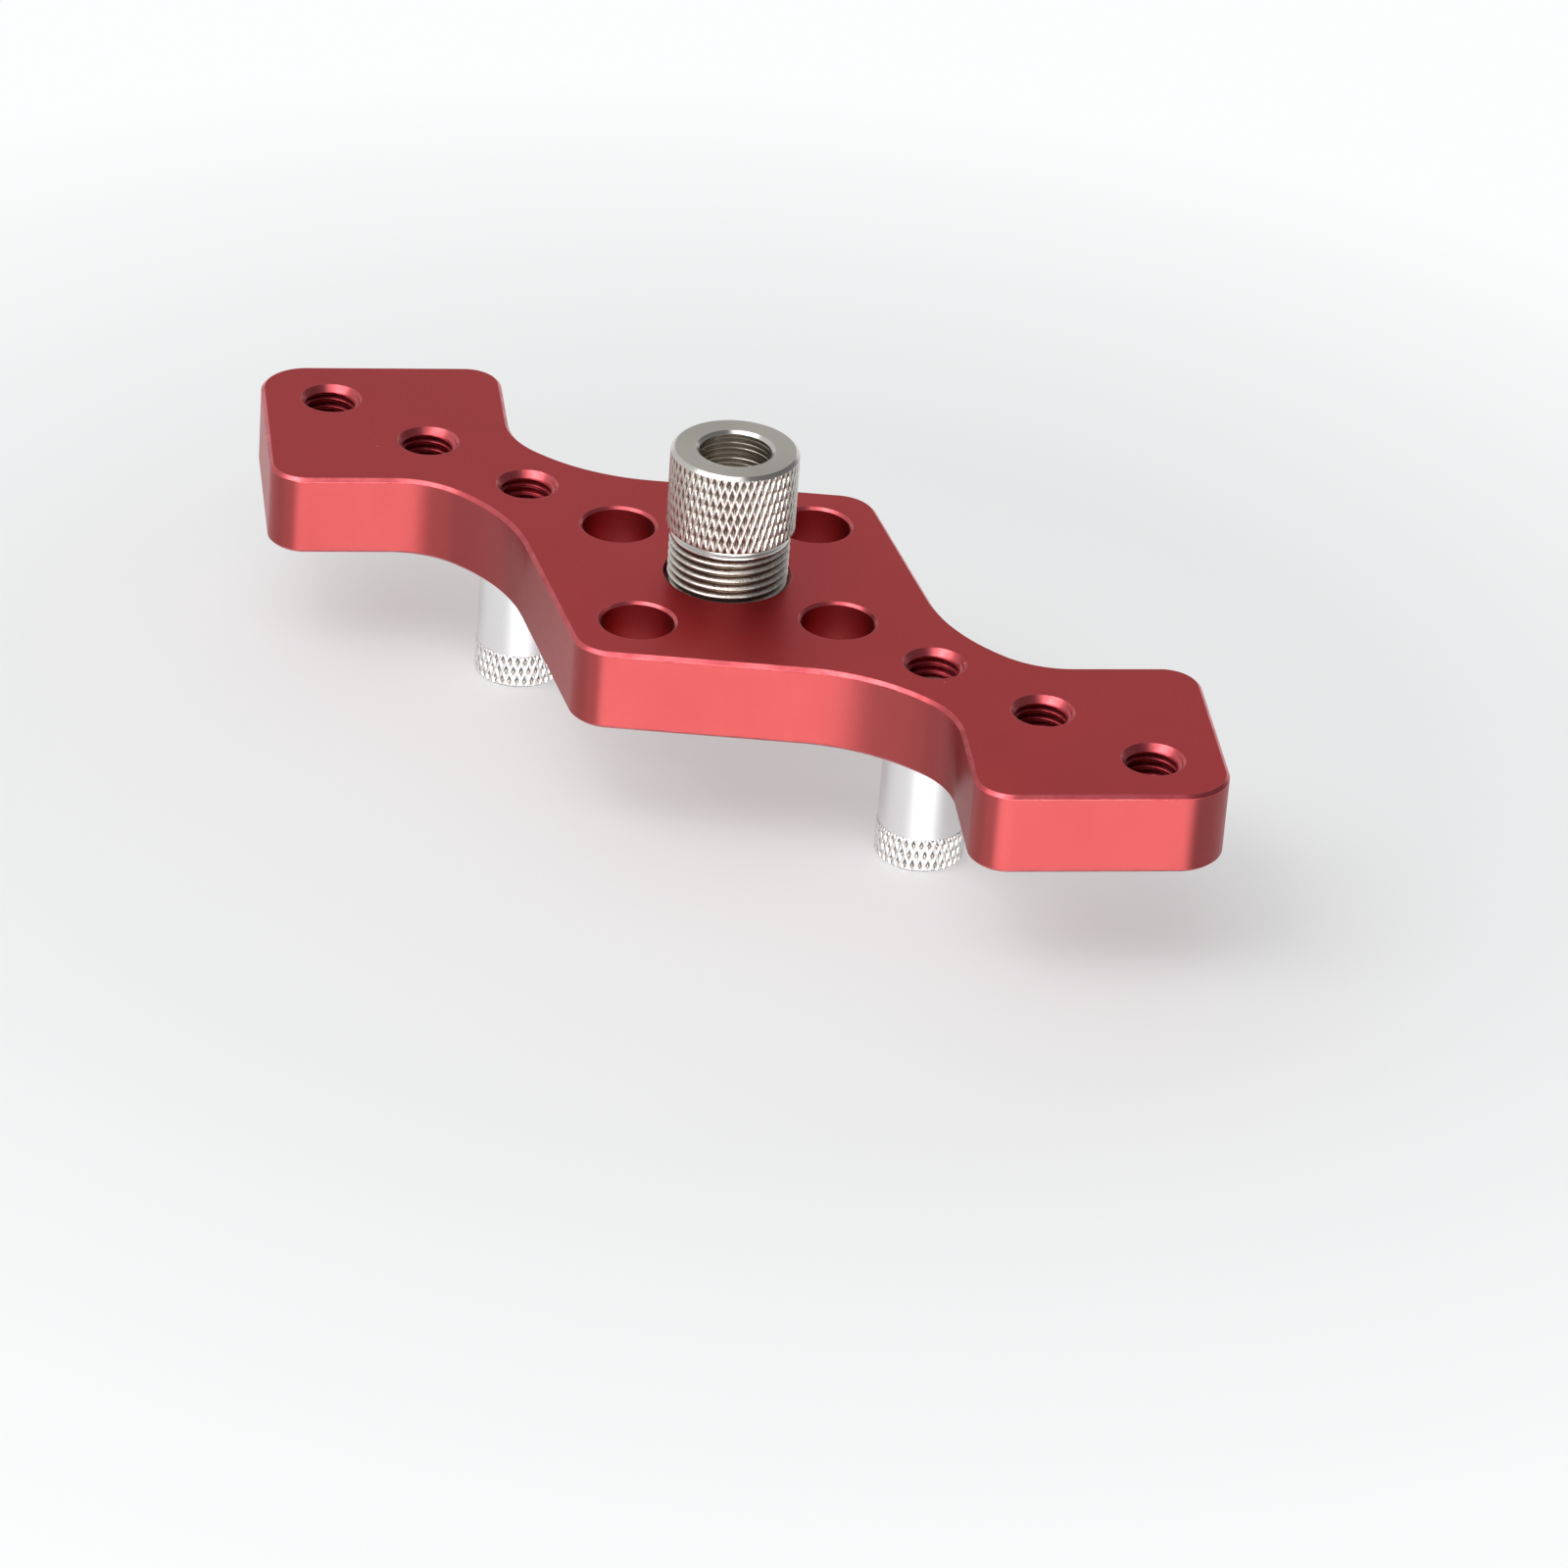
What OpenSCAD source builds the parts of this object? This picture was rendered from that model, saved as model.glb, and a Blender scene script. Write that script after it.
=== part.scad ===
/* [Plate] */
// Length of the plate over its two rounded ends
plate_length = 170; // [164:0.5:180]
// Width of the plate over its two rounded crowns
plate_width = 61.4; // [58:0.2:66]
// Thickness of the plate
plate_thickness = 12; // [10:0.5:16]
// Width of each square end pad over its rounded side corners
pad_width = 45.4; // [42:0.2:50]
// Width of the plate at its two waists
waist_width = 17.8; // [16:0.2:20]
// Slope of the centre diamond's edges against the plate's length, in degrees
flank_angle = 35.7; // [34:0.1:37]
// Radius of the two end corners
end_radius = 7; // [4:0.5:9]
// Radius of the two crown corners
crown_radius = 5.7; // [3:0.1:8]
// Radius of the side corners of the pads
pad_radius = 5.1; // [3:0.1:7]
// Radius of the fillet between a waist and its pad
waist_radius = 13; // [9:0.5:15]
// Length of the straight stretch where a waist is narrowest
waist_flat = 0.8; // [0.4:0.1:2]
// Bevel along both edges of the outline and of the bush hole
plate_bevel = 0.5; // [0.2:0.1:1]

/* [Plain holes] */
// Diameter of the four plain holes round the bush
plain_hole_d = 10.2; // [8:0.1:11]
// Place of the plain holes between the edge of the bush hole and the crowns, as a share of the way
plain_place_share = 0.5034; // [0.46:0.0002:0.54]
// Bevel at both ends of a plain hole
plain_bevel = 0.4; // [0.1:0.1:0.8]

/* [Tapped holes] */
// Major diameter of the thread that the guide posts screw into
tap_d = 8; // [6:0.5:10]
// Pitch of that thread
tap_pitch = 1.25; // [1:0.05:1.5]
// Distance from the bush axis to the nearest tapped holes
tap_start = 36.6; // [34:0.2:38]
// Distance from an end of the plate to its outermost tapped hole
tap_margin = 11.2; // [10:0.1:14]
// Number of evenly spaced tapped holes in the row on each side of the bush
tap_count = 3; // [2:1:3]
// How far the mouth of the countersink is wider than the thread
tap_sink = 0.8; // [0.4:0.1:1.2]

/* [Drill bush] */
// Diameter of the bore that guides the drill
bore_d = 10.1; // [6.1:0.1:12.1]
// Bevel at both ends of the bore
bore_bevel = 0.45; // [0.2:0.05:0.8]
// Major diameter of the bush thread
bush_thread_d = 17; // [16:0.1:17.5]
// Pitch of the bush thread
bush_pitch = 1.25; // [1:0.05:1.5]
// Diameter of the knurled head
bush_head_d = 18; // [18:0.1:20]
// Height of the knurled head
bush_head_h = 12; // [8:0.5:16]
// Bevel round the top of the head
bush_rim = 0.55; // [0.3:0.05:0.9]
// Bevel round the bottom of the head and the end of the thread
bush_edge = 0.3; // [0.1:0.05:0.45]
// Length of the plain neck between the head and the thread
bush_neck_h = 1.2; // [0.8:0.1:2]
// How far a fully seated bush stays short of the plate's underside
bush_recess = 0.5; // [0.2:0.1:1]
// Number of turns that the bush is screwed up from its seat
bush_turns_up = 6; // [0:1:6]

/* [Guide posts] */
// Diameter of a guide post
post_d = 12.2; // [10:0.1:12.4]
// Length of a guide post below the plate
post_length = 18; // [14:0.5:30]
// Bevel round the top of a post, where it meets the plate
post_edge = 0.3; // [0.1:0.05:0.6]
// Diameter of the knurled foot
foot_d = 12.5; // [12.4:0.1:15]
// Height of the knurled foot
foot_h = 5.2; // [3:0.1:8]
// Bevel round the bottom of the foot
foot_bevel = 0.5; // [0.2:0.1:1]
// Length of the threaded stud on top of a post
stud_length = 8; // [5:0.5:9]
// Bevel round the top of the stud
stud_bevel = 0.7; // [0.3:0.1:0.9]

/* [Hidden] */
$fn = 96;
// Radial clearance between a screwed-in piece and its hole
thread_clearance = 0.05;
// Height of an inner thread as a share of its pitch
inner_thread_share = 0.5413;
// Depth of an outer thread, and width of its flat crest, as shares of the pitch
outer_thread_share = 0.6134;
crest_share = 0.125;
// Extra reach of every cut past the face that it opens
overrun = 1;
// Excess of an arc's radius, so that it cuts its neighbours cleanly instead of only touching them
arc_slack = 0.003;
// How far an arc cuts past its tangent point, as a share of the root of its radius times that excess
bite_share = 1.7;
// Angle between the two edges that meet at a corner of a pad
pad_angle = 90;
// Share by which a sharp right-angled corner stands out past its rounding radius
pad_stand_share = 1 / sin(pad_angle / 2) - 1;

// Heights above the surface that the posts stand on
plate_z = post_length;
plate_top_z = plate_z + plate_thickness;
bush_z = plate_top_z + bush_turns_up * bush_pitch;

// Length of the bush below its head, which ends inside the plate when the head is seated
shank_h = plate_thickness - bush_recess;
bush_r = bush_thread_d / 2;
bush_hole_r = bush_r + thread_clearance;

// Radii of the tapped hole and of the stud that turns in it, drawn at the root of its thread
tap_r = tap_d / 2 - inner_thread_share * tap_pitch;
stud_r = tap_r - thread_clearance;

// Sharp corners of the outline in one quarter, before rounding
end_x = plate_length / 2 + end_radius * pad_stand_share;
pad_y = pad_width / 2 + pad_radius * pad_stand_share;
pad_x = end_x - pad_y / tan(pad_angle / 2);
crown_y = plate_width / 2 + crown_radius * (1 / cos(flank_angle) - 1);
waist_y = waist_width / 2;
flank_x = (crown_y - waist_y) / tan(flank_angle);
fillet_x = pad_x - (pad_y - waist_y) / tan(pad_angle / 2);
// Radius of the long sweep from the diamond's edge into the waist, which fills what the fillet leaves
throat_x = fillet_x - waist_radius * tan(pad_angle / 4) - waist_flat;
flank_radius = (throat_x - flank_x) / tan(flank_angle / 2);

// Corners between an end and a crown: x, y, radius
quarter = [
    [pad_x, pad_y, pad_radius],
    [fillet_x, waist_y, waist_radius],
    [flank_x, waist_y, flank_radius],
];
quarter_back = [for (i = [len(quarter) - 1 : -1 : 0]) quarter[i]];

function flip(list, sx, sy) = [for (c = list) [sx * c.x, sy * c.y, c.z]];

// The whole outline, anticlockwise from the +X end
corners = concat(
    [[end_x, 0, end_radius]],
    quarter,
    [[0, crown_y, crown_radius]],
    flip(quarter_back, -1, 1),
    [[-end_x, 0, end_radius]],
    flip(quarter, -1, -1),
    [[0, -crown_y, crown_radius]],
    flip(quarter_back, 1, -1)
);
corner_count = len(corners);

function corner(i) = corners[(i + corner_count) % corner_count];
function spot(i) = [corner(i).x, corner(i).y];
function edge_way(i) = (spot(i + 1) - spot(i)) / norm(spot(i + 1) - spot(i));
function left_of(v) = [-v.y, v.x];
// A corner's side is 1 where the outline bulges and -1 where it is hollow
function side(i) = sign(cross(edge_way(i - 1), edge_way(i)));
function turn(i) = acos(edge_way(i - 1) * edge_way(i));
function setback(i) = corner(i).z * tan(turn(i) / 2);
function arc_start(i) = spot(i) - setback(i) * edge_way(i - 1);
function arc_end(i) = spot(i) + setback(i) * edge_way(i);
function arc_centre(i) = arc_start(i) + side(i) * corner(i).z * left_of(edge_way(i - 1));
function bite(i) = bite_share * sqrt(corner(i).z * arc_slack);

// Places of the holes and of the posts
tap_spacing = (plate_length / 2 - tap_margin - tap_start) / (tap_count - 1);
tap_x = [for (i = [0 : tap_count - 1]) tap_start + i * tap_spacing];
tap_places = concat([for (x = tap_x) [x, 0]], [for (x = tap_x) [-x, 0]]);
plain_circle_r = bush_hole_r + plain_place_share * (plate_width / 2 - bush_hole_r);
plain_places = [for (a = [0 : 90 : 270]) plain_circle_r * [cos(a), sin(a)]];

// The outline with its bulging corners still sharp and its hollow corners cut straight across
module blank_outline() {
    polygon([for (i = [0 : corner_count - 1]) each side(i) > 0 ? [spot(i)] : [arc_start(i), arc_end(i)]]);
}

// What rounds corner i of the blank and bevels both edges of its arc. It runs on past a hollow arc.
module corner_cut(i) {
    s = side(i);
    r = corner(i).z + arc_slack;
    half_turn = turn(i) / 2;
    waste = s > 0 ? r / cos(half_turn) - r : r - r * cos(half_turn);
    extra = s > 0 ? 0 : atan(bite(i) / r);
    spoke = (s > 0 ? arc_start(i) : arc_end(i)) - arc_centre(i);
    inner_r = r - s * (plate_bevel + overrun);
    outer_r = r + s * (waste + overrun);
    translate([arc_centre(i).x, arc_centre(i).y, plate_z]) rotate([0, 0, atan2(spoke.y, spoke.x) - extra])
        rotate_extrude(angle = turn(i) + 2 * extra) polygon([
            [r, plate_bevel],
            [r, plate_thickness - plate_bevel],
            [inner_r, plate_thickness + overrun],
            [outer_r, plate_thickness + overrun],
            [outer_r, -overrun],
            [inner_r, -overrun]
        ]);
}

// What bevels both edges of the straight after corner i. It runs on past a bulging corner.
module straight_cut(i) {
    way = edge_way(i);
    before = side(i) > 0 ? bite(i) : 0;
    after = side(i + 1) > 0 ? bite(i + 1) : 0;
    start = arc_end(i) - before * way;
    straight = norm(arc_start(i + 1) - arc_end(i));
    length = before + straight + after;
    inner = plate_bevel + overrun;
    translate([start.x, start.y, plate_z]) rotate([0, 0, atan2(way.y, way.x)]) rotate([90, 0, 90])
        linear_extrude(length) {
            polygon([[-overrun, -overrun], [inner, -overrun], [-overrun, inner]]);
            translate([0, plate_thickness])
                polygon([[-overrun, overrun], [inner, overrun], [-overrun, -inner]]);
        }
}

// A hole right through the plate, beveled at both ends
module plate_hole(place, r, bevel) {
    reach = bevel + overrun;
    translate([place.x, place.y, plate_z]) {
        translate([0, 0, -overrun]) cylinder(r = r, h = plate_thickness + 2 * overrun);
        translate([0, 0, -overrun]) cylinder(r1 = r + reach, r2 = r, h = reach);
        translate([0, 0, plate_thickness - bevel]) cylinder(r1 = r, r2 = r + reach, h = reach);
    }
}

module guide_plate() {
    color([0.62, 0.14, 0.16]) difference() {
        translate([0, 0, plate_z]) linear_extrude(plate_thickness) blank_outline();
        for (i = [0 : corner_count - 1]) {
            corner_cut(i);
            straight_cut(i);
        }
        plate_hole([0, 0], bush_hole_r, plate_bevel);
        for (place = plain_places) plate_hole(place, plain_hole_d / 2, plain_bevel);
        for (place = tap_places) plate_hole(place, tap_r, (tap_d + tap_sink) / 2 - tap_r);
    }
}

// One side of a threaded shank of radius r from the height low up to high, as rings of the thread's form
function thread_profile(r, pitch, low, high) =
    let (
        root_r = r - outer_thread_share * pitch,
        half_crest = crest_share * pitch / 2,
        half_turn = pitch / 2,
        turns = floor((high - low) / pitch)
    )
    [for (i = [1 : turns]) let (crest_z = low + i * pitch) each [
        [root_r, crest_z - half_turn - half_crest],
        [root_r, crest_z - half_turn + half_crest],
        [r, crest_z - half_crest],
        [r, crest_z]
    ]];

// The bush: a knurled head over a threaded shank, with its shoulder at the height zero
module drill_bush() {
    head_r = bush_head_d / 2;
    bore_r = bore_d / 2;
    color([0.58, 0.56, 0.53]) translate([0, 0, bush_z]) rotate_extrude() polygon(concat(
        [
            [bore_r, bush_head_h - bore_bevel],
            [bore_r, bore_bevel - shank_h],
            [bore_r + bore_bevel, -shank_h],
            [bush_r - bush_edge, -shank_h],
            [bush_r, bush_edge - shank_h]
        ],
        thread_profile(bush_r, bush_pitch, bush_edge - shank_h, -bush_neck_h),
        [
            [bush_r, 0],
            [head_r - bush_edge, 0],
            [head_r, bush_edge],
            [head_r, bush_head_h - bush_rim],
            [head_r - bush_rim, bush_head_h],
            [bore_r + bore_bevel, bush_head_h]
        ]
    ));
}

// A guide post: a smooth round body with a knurled foot, and a stud that screws up into the plate
module guide_post(x) {
    post_r = post_d / 2;
    foot_r = foot_d / 2;
    color([0.86, 0.87, 0.88]) translate([x, 0, 0]) rotate_extrude() polygon([
        [0, 0],
        [foot_r - foot_bevel, 0],
        [foot_r, foot_bevel],
        [foot_r, foot_h - (foot_r - post_r)],
        [post_r, foot_h],
        [post_r, post_length - post_edge],
        [post_r - post_edge, post_length],
        [stud_r, post_length],
        [stud_r, post_length + stud_length - stud_bevel],
        [stud_r - stud_bevel, post_length + stud_length],
        [0, post_length + stud_length]
    ]);
}

module guide_post_left() { guide_post(-tap_start); }
module guide_post_right() { guide_post(tap_start); }

guide_plate();
drill_bush();
guide_post_left();
guide_post_right();
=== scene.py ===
"""The looks of a self-centring drill guide: an anodised plate, a knurled drill bush and two guide posts.

Every shape is worked out in millimetres in the frame of the CAD model: the bush axis is the Z axis,
the guide posts stand on z = 0, and X runs along the plate. The meshes are scaled to metres at the end.
Materials, lamps and the camera are in metres.
"""

import math

import bpy
import numpy as np
from mathutils import Matrix, Vector
from mathutils.geometry import delaunay_2d_cdt


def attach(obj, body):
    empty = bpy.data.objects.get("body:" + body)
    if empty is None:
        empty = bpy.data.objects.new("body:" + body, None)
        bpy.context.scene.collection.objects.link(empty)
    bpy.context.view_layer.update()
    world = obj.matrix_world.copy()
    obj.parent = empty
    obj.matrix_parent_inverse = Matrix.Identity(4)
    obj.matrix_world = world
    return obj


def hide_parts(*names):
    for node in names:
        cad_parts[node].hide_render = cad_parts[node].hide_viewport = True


MM = 0.001
TAU = 2 * math.pi

# Plate
PLATE_Z, PLATE_TOP = 18.0, 30.0
PLATE_LENGTH, PLATE_WIDTH, PAD_WIDTH, WAIST_WIDTH = 170.0, 61.4, 45.4, 17.8
FLANK_ANGLE = math.radians(35.7)
END_R, CROWN_R, PAD_R, WAIST_R = 7.0, 5.7, 5.1, 13.0
WAIST_FLAT = 0.8
PLATE_BEVEL = 0.5
# Threads: the depth of an outer one, and half the flat at the smallest radius of each
PITCH, OUTER_DEPTH = 1.25, 0.7668
BUSH_HOLE_FLAT, TAP_FLAT, SHANK_FLAT, STUD_FLAT = 0.153, 0.156, 0.104, 0.112
HALF_THREAD_ANGLE = math.pi / 6
THREAD_FADE = 0.4
# Bush
BUSH_Z, BUSH_TOP, SHANK_H = 37.5, 49.5, 11.5
BUSH_LOW = BUSH_Z - SHANK_H
BUSH_THREAD_R, BUSH_HEAD_R, BORE_R = 8.5, 9.0, 5.05
RIM, BORE_BEVEL, BUSH_EDGE = 0.55, 0.45, 0.3
# Its neck: the thread runs into it by THREAD_OVER, and it narrows from NECK_START above its lower end
NECK_H, NECK_DEPTH, NECK_START, NECK_FADE, THREAD_OVER = 1.2, 0.3, 0.15, 0.75, 0.1
CREST_ROUNDING = 0.26
# Rings that the drill left in the bush's bore. They lean by RING_TILT, their depth varies by RING_VARIES, and the
# deepest side moves on by RING_SHIFT radians from one ring to the next
RING_PITCH, RING_HALF, RING_TILT, RING_FADE = 0.8, 0.1, 0.15, 0.3
RING_DEPTH, RING_VARIES, RING_SHIFT = 0.07, 0.04, 2.3
# Holes. The bush hole's thread starts below the neck of a seated bush
BUSH_HOLE_R, BUSH_HOLE_CREST_R, BUSH_HOLE_PLAIN = 8.55, 7.87, NECK_H + 0.35
PLAIN_R, PLAIN_BEVEL, PLAIN_CIRCLE_R = 5.1, 0.4, 19.7
TAP_ROOT_R, TAP_CREST_R, TAP_MOUTH_R = 4.0, 3.3234, 4.4
TAP_X = (36.6, 55.2, 73.8)
# How far below its countersink a tapped hole is as bright as its edge
MOUTH_REACH = 0.45
# Posts, with the centre drill's cup in the foot
POST_R, FOOT_R, FOOT_H, FOOT_BEVEL, POST_EDGE = 6.1, 6.25, 5.2, 0.5, 0.3
STUD_R, STUD_TOP, STUD_BEVEL, STUD_PLAIN, STUD_FADE = 3.95, 26.0, 0.7, 0.5, 0.5
SHOULDER_INNER_R = 3.2
CUP_R, CUP_DEPTH = 2.0, 1.2
# Knurls, as knurl() takes them. That of the bush ends KNURL_OVER above the foot of the rim's bevel
BUSH_KNURL = {"count": 54, "length": 3.54, "depth": 0.3, "flat": 0.14, "floor": 0.12, "second": 0.82}
FOOT_KNURL = {"count": 35, "length": 3.1, "depth": 0.36, "flat": 0.2, "floor": 0.15, "second": 1}
KNURL_OVER, KNURL_FADE = 0.04, 0.14
FOOT_KNURL_SHIFT, FOOT_KNURL_FADE = 0.4, 0.08

# Rounding of every turned or milled edge, and the flat ring between an edge and the face beside it
BREAK = 0.05
LIP = 2 * BREAK
# Radius that stands for a piece's own axis
AXIS_R = 0.01
# Columns round each form, and how finely the threads, the knurls and the plate's arcs are drawn
HOLE_COLUMNS, BUSH_HOLE_COLUMNS, TAP_COLUMNS = 144, 216, 120
BUSH_COLUMNS, POST_COLUMNS, CUP_COLUMNS = 288, 192, 96
RIDGE_COLUMNS, DIAMOND_ROWS = 16, 32
FINE_TURN_ROWS, TURN_ROWS = 32, 20
EDGE_STEP, RIM_STEP, SHOULDER_STEP, BORE_STEP = 0.05, 0.03, 0.02, 0.04
ARC_STEP, LEAST_ARC_STEPS, LEAST_ARC_R = 0.6, 8, 12
# For the flat faces: triangles inside the loops only, vertices this close are one, and the size of the map
CDT_INSIDE, CDT_NEAR, FACE_MAP_SCALE = 1, 1e-6, 0.01

# Share of a turn between the map's first axis and the stretched gloss, and how rough a clear skin is
MARKS_TURN, COAT_ROUGHNESS = 0.25, 0.25
# White of the background, as the camera and the metal see it
BACKDROP = (0.985, 0.995, 1)
# Point that the lamps face
AIM = Vector((0, 0, 0.025))

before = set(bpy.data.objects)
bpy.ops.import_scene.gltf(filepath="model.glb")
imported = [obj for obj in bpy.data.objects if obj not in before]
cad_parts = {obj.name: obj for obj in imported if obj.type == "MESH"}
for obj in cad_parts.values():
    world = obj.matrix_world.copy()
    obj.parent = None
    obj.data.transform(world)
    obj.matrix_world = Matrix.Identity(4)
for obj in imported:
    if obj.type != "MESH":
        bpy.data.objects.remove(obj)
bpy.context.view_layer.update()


# ---------------------------------------------------------------- mesh building

class Shell:
    """The surfaces of one piece. A vertex has its own normal, or a zero one that Blender works out."""

    def __init__(self):
        self.points, self.normals, self.quads, self.tris = [], [], [], []
        self.quad_zones, self.tri_zones, self.quad_maps, self.tri_maps = [], [], [], []
        self.count = 0

    def vertices(self, points, normals):
        start = self.count
        self.points.append(points)
        self.normals.append(normals)
        self.count += len(points)
        return start

    def grid(self, points, zones, normals=None):
        """Rows of points, each row closed on itself. zones names one material index per gap between rows.

        The first map axis runs along the rows, which is the way of the tool marks.
        """
        rows, columns = points.shape[:2]
        flat = points.reshape(-1, 3)
        given = np.zeros_like(flat) if normals is None else normals.reshape(-1, 3)
        start = self.vertices(flat, given)
        index = start + np.arange(rows * columns).reshape(rows, columns)
        right = np.roll(index, -1, axis=1)
        quads = np.stack([index[:-1], right[:-1], right[1:], index[1:]], axis=-1)
        self.quads.append(quads.reshape(-1, 4))
        self.quad_zones.append(np.repeat(np.asarray(zones), columns))
        v, u = np.meshgrid(np.arange(rows - 1) / rows, np.arange(columns) / columns, indexing="ij")
        next_u, next_v = u + 1 / columns, v + 1 / rows
        maps = [np.stack(pair, axis=-1) for pair in ((u, v), (next_u, v), (next_u, next_v), (u, next_v))]
        self.quad_maps.append(np.stack(maps, axis=-2).reshape(-1, 2))

    def cap(self, loops, holes, z, up, zone):
        """A flat face inside the first loop and outside the others, which run round the holes."""
        points = np.concatenate(loops)
        edges, first = [], 0
        for loop in loops:
            n = len(loop)
            edges += [(first + i, first + (i + 1) % n) for i in range(n)]
            first += n
        made, _, faces = delaunay_2d_cdt([Vector(p) for p in points], edges, [], CDT_INSIDE, CDT_NEAR)[:3]
        made = np.array([tuple(p) for p in made])
        faces = np.array([f for f in faces if len(f) == 3])
        middle = made[faces].mean(axis=1)
        keep = np.ones(len(faces), bool)
        for x, y, r, _ in holes:
            keep &= np.hypot(middle[:, 0] - x, middle[:, 1] - y) > r
        faces = faces[keep]
        if not up:
            faces = faces[:, ::-1]
        solid = np.column_stack([made, np.full(len(made), z)])
        normals = np.tile([0.0, 0.0, 1.0 if up else -1.0], (len(made), 1))
        start = self.vertices(solid, normals)
        self.tris.append(faces + start)
        self.tri_zones.append(np.full(len(faces), zone))
        self.tri_maps.append(made[faces].reshape(-1, 2) * FACE_MAP_SCALE)

    def build(self, name, materials):
        points = np.concatenate(self.points) * MM
        normals = np.concatenate(self.normals)
        quads = np.concatenate(self.quads)
        tris = np.concatenate(self.tris) if self.tris else np.zeros((0, 3), int)
        loops = np.concatenate([quads.ravel(), tris.ravel()])
        starts = np.concatenate([np.arange(len(quads)) * 4, len(quads) * 4 + np.arange(len(tris)) * 3])
        zones = np.concatenate(self.quad_zones + self.tri_zones)
        mesh = bpy.data.meshes.new(name)
        mesh.vertices.add(len(points))
        mesh.vertices.foreach_set("co", points.ravel())
        mesh.loops.add(len(loops))
        mesh.loops.foreach_set("vertex_index", loops.astype(np.int32))
        mesh.polygons.add(len(starts))
        mesh.polygons.foreach_set("loop_start", starts.astype(np.int32))
        for m in materials:
            mesh.materials.append(m)
        mesh.polygons.foreach_set("material_index", zones.astype(np.int32))
        mesh.update(calc_edges=True)
        mesh.shade_smooth()
        layer = mesh.uv_layers.new(name="marks")
        layer.data.foreach_set("uv", np.concatenate(self.quad_maps + self.tri_maps).ravel())
        mesh.normals_split_custom_set_from_vertices(normals.tolist())
        piece = bpy.data.objects.new(name, mesh)
        bpy.context.scene.collection.objects.link(piece)
        return piece


def broken(profile, zones, edge_zone):
    """A profile of (radius or offset, z) with its inner corners rounded.

    It returns rows of (x, z, nx, nz) and one zone per gap. The solid is on the left of the way.
    """
    profile = np.asarray(profile, float)
    ways = np.diff(profile, axis=0)
    ways /= np.linalg.norm(ways, axis=1)[:, None]
    sides = np.column_stack([ways[:, 1], -ways[:, 0]])
    rows, gaps = [(*profile[0], *sides[0])], []
    for i in range(1, len(profile) - 1):
        middle = sides[i - 1] + sides[i]
        middle /= np.linalg.norm(middle)
        before = profile[i] - BREAK * ways[i - 1]
        after = profile[i] + BREAK * ways[i]
        rows.append((*before, *sides[i - 1]))
        rows.append((*(profile[i] / 2 + (before + after) / 4), *middle))
        rows.append((*after, *sides[i]))
        corner = edge_zone if edge_zone in (zones[i - 1], zones[i]) else zones[i]
        gaps += [zones[i - 1], corner, corner]
    rows.append((*profile[-1], *sides[-1]))
    gaps.append(zones[-1])
    return np.array(rows), gaps


def circle(columns):
    a = np.arange(columns) * TAU / columns
    return np.cos(a), np.sin(a)


def circle_at(centre, r, z, columns):
    """A level row of points round a vertical axis."""
    c, s = circle(columns)
    return np.column_stack([centre[0] + r * c, centre[1] + r * s, np.full(columns, z)])


def lathe(shell, profile, zones, edge_zone, columns, centre=(0, 0)):
    """Turns a profile round a vertical axis."""
    rows, gaps = broken(profile, zones, edge_zone)
    c, s = circle(columns)
    points = np.stack([centre[0] + rows[:, :1] * c, centre[1] + rows[:, :1] * s, rows[:, 1:2] + 0 * c], axis=-1)
    normals = np.stack([rows[:, 2:3] * c, rows[:, 2:3] * s, rows[:, 3:4] + 0 * c], axis=-1)
    shell.grid(points, gaps, normals)


def relief(shell, z, radius, zone, columns, centre=(0, 0), downwards=False):
    """A round wall whose radius(angle, z) varies. Rows go up outside a solid and downwards inside a hole.

    zone is a material index or gives one for each height.
    """
    z = np.asarray(z, float)[::-1] if downwards else np.asarray(z, float)
    a = np.arange(columns) * TAU / columns
    angle, height = np.meshgrid(a, z)
    r = radius(angle, height)
    points = np.stack([centre[0] + r * np.cos(angle), centre[1] + r * np.sin(angle), height], axis=-1)
    zones = zone(0.5 * (z[1:] + z[:-1])) if callable(zone) else np.full(len(z) - 1, zone)
    shell.grid(points, zones)
    return points


def ring(shell, inner, outer, zone, normal_z):
    """A flat ring between two rows of points."""
    rows = np.stack([inner, outer] if normal_z < 0 else [outer, inner])
    normals = np.zeros_like(rows)
    normals[..., 2] = normal_z
    shell.grid(rows, [zone], normals)


# ---------------------------------------------------------------- forms

def corners():
    """The sharp corners of the plate's outline with their radii, anticlockwise from the +X end."""
    # How far a right-angled corner stands out from its arc, as a share of the radius
    stand = math.sqrt(2) - 1
    end_x = PLATE_LENGTH / 2 + END_R * stand
    pad_y = PAD_WIDTH / 2 + PAD_R * stand
    pad_x = end_x - pad_y
    crown_y = PLATE_WIDTH / 2 + CROWN_R * (1 / math.cos(FLANK_ANGLE) - 1)
    waist_y = WAIST_WIDTH / 2
    flank_x = (crown_y - waist_y) / math.tan(FLANK_ANGLE)
    fillet_x = pad_x - (pad_y - waist_y)
    half_fillet = math.pi / 8
    throat_x = fillet_x - WAIST_R * math.tan(half_fillet) - WAIST_FLAT
    flank_r = (throat_x - flank_x) / math.tan(FLANK_ANGLE / 2)
    quarter = [(pad_x, pad_y, PAD_R), (fillet_x, waist_y, WAIST_R), (flank_x, waist_y, flank_r)]
    back = quarter[::-1]

    def flip(some, sx, sy):
        return [(sx * x, sy * y, r) for x, y, r in some]

    return ([(end_x, 0, END_R)] + quarter + [(0, crown_y, CROWN_R)] + flip(back, -1, 1) + [(-end_x, 0, END_R)]
            + flip(quarter, -1, -1) + [(0, -crown_y, CROWN_R)] + flip(back, 1, -1))


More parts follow.
